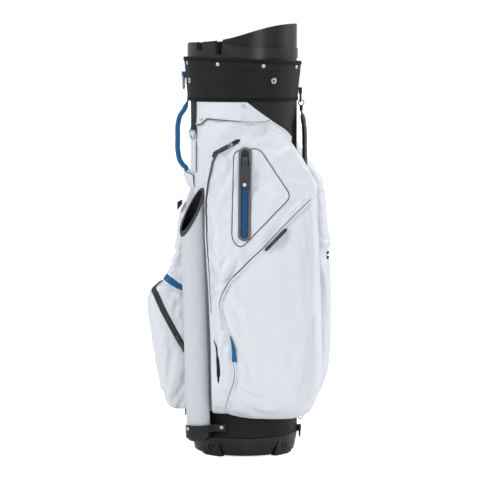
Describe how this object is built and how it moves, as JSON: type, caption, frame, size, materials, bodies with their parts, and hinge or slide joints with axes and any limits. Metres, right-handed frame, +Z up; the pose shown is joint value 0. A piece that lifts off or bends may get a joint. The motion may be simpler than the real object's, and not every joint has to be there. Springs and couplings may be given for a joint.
{
  "type": "cart golf bag",
  "caption": "Round cart golf bag with divided club wells, moulded top and base, outside umbrella tube, zipped side and ball pockets, carry handle and shoulder strap.",
  "frame": {"origin": "centre of the base's flat under side, on the round body's axis", "axes": "+Z up along the round body; -X the front with the ball pocket and the carry handle; +X the spine with the shoulder strap; -Y the side with the umbrella tube"},
  "size_m": [0.367, 0.336, 0.8766],
  "materials": {
    "moulded_black": "satin moulded",
    "rubber": "matte",
    "black_cloth": "coated woven",
    "white_cloth": "coated woven",
    "white_tube": "cloth wrapped",
    "liner_plastic": "satin",
    "divider_cloth": "brushed",
    "blue_webbing": "woven",
    "blue_grip": "moulded",
    "black_webbing": "woven",
    "pad_cloth": "padded mesh",
    "nickel": "bright",
    "dark_metal": "satin"
  },
  "bodies": {
    "bag": {"base_cup": "moulded_black", "base_feet": "rubber", "base_band": "black_cloth", "core_liner": "liner_plastic", "core_cover": "black_cloth", "body_wrap": "white_cloth", "stay_rods": "liner_plastic", "full_length_dividers": "divider_cloth", "organiser_walls": "moulded_black", "organiser_shell": "moulded_black", "organiser_band": "moulded_black", "collar_band": "black_cloth", "collar_rivets": "nickel", "hood_snaps": "nickel", "towel_tab": "blue_webbing", "hood_strap": "black_webbing", "hood_webbing": "white_cloth", "umbrella_tube": "white_tube", "tube_rim": "moulded_black", "tube_cup": "moulded_black", "cup_strap": "black_webbing", "cup_rivets": "nickel", "tube_clip": "moulded_black", "lower_pocket_near": "white_cloth", "side_pocket_near": "white_cloth", "lower_pocket_far": "white_cloth", "side_pocket_far": "white_cloth", "yoke_flaps": "white_cloth", "flap_snaps": "nickel", "ball_pocket": "white_cloth", "front_pocket": "white_cloth", "handle_webbing": "blue_webbing", "handle_grip": "blue_grip", "handle_patch": "white_cloth", "base_handle": "black_webbing", "strap_tabs": "black_webbing", "strap_rings": "dark_metal", "valuables_panel": "white_cloth", "valuables_surround": "rubber", "valuables_tape": "blue_webbing", "zip_tapes": "black_webbing", "tee_loops": "black_webbing"},
    "valuables_slider": {"valuables_slider": "nickel"},
    "valuables_pull": {"valuables_pull": "rubber"},
    "garment_slider": {"garment_slider": "nickel"},
    "garment_pull": {"garment_pull": "rubber"},
    "lower_slider": {"lower_slider": "dark_metal"},
    "lower_pull": {"lower_pull": "rubber"},
    "far_side_slider": {"far_side_slider": "dark_metal"},
    "far_side_pull": {"far_side_pull": "rubber"},
    "ball_slider": {"ball_slider": "dark_metal"},
    "ball_pull": {"ball_pull": "rubber"},
    "towel_ring": {"towel_ring": "nickel"},
    "hood_ring": {"hood_strap_ring": "nickel"},
    "shoulder_strap": {"strap_webbing": "black_webbing", "strap_pad": "pad_cloth", "strap_adjuster": "moulded_black", "strap_hook_top": "dark_metal", "strap_hook_bottom": "dark_metal"}
  },
  "joints": [
    {"name": "valuables_zip_slide", "type": "slide", "parent": "bag", "child": "valuables_slider", "axis": [0, -0.1088, -0.9941], "range_m": [0, 0.128]},
    {"name": "valuables_pull_hinge", "type": "hinge", "parent": "valuables_slider", "child": "valuables_pull", "pos_m": [0.0135, -0.14083, 0.60469], "axis": [-1, 0, 0], "range_deg": [0, 150]},
    {"name": "garment_zip_slide", "type": "slide", "parent": "bag", "child": "garment_slider", "axis": [-0.8746, -0.0528, -0.4819], "range_m": [0, 0.027]},
    {"name": "garment_pull_hinge", "type": "hinge", "parent": "garment_slider", "child": "garment_pull", "pos_m": [-0.017, -0.13327, 0.63512], "axis": [-0.4848, 0.0952, 0.8694], "range_deg": [0, 150]},
    {"name": "lower_zip_slide", "type": "slide", "parent": "bag", "child": "lower_slider", "axis": [-0.6984, -0.0779, -0.7114], "range_m": [0, 0.039]},
    {"name": "lower_pull_hinge", "type": "hinge", "parent": "lower_slider", "child": "lower_pull", "pos_m": [0.088, -0.16232, 0.46171], "axis": [-0.7157, 0.076, 0.6943], "range_deg": [0, 150]},
    {"name": "far_side_zip_slide", "type": "slide", "parent": "bag", "child": "far_side_slider", "axis": [0, 0.1088, -0.9941], "range_m": [0, 0.143]},
    {"name": "far_side_pull_hinge", "type": "hinge", "parent": "far_side_slider", "child": "far_side_pull", "pos_m": [0.026, 0.13705, 0.60062], "axis": [1, 0, 0], "range_deg": [0, 150]},
    {"name": "ball_zip_slide", "type": "slide", "parent": "bag", "child": "ball_slider", "axis": [-0.4864, 0, 0.8737], "range_m": [0, 0.078]},
    {"name": "ball_pull_hinge", "type": "hinge", "parent": "ball_slider", "child": "ball_pull", "pos_m": [-0.1293, -0.0777, 0.2382], "axis": [-0.8737, 0, -0.4864], "range_deg": [0, 150]},
    {"name": "towel_ring_hinge", "type": "hinge", "parent": "bag", "child": "towel_ring", "pos_m": [-0.12503, 0, 0.7705], "axis": [0, 1, 0], "range_deg": [-5, 100]},
    {"name": "hood_ring_hinge", "type": "hinge", "parent": "bag", "child": "hood_ring", "pos_m": [-0.10177, -0.05525, 0.661], "axis": [-0.4772, 0.8788, 0], "range_deg": [0, 100]},
    {"name": "shoulder_strap_swing", "type": "hinge", "parent": "bag", "child": "shoulder_strap", "pos_m": [0.115, 0, 0.39], "axis": [0, 0, 1], "range_deg": [-10, 10]}
  ]
}
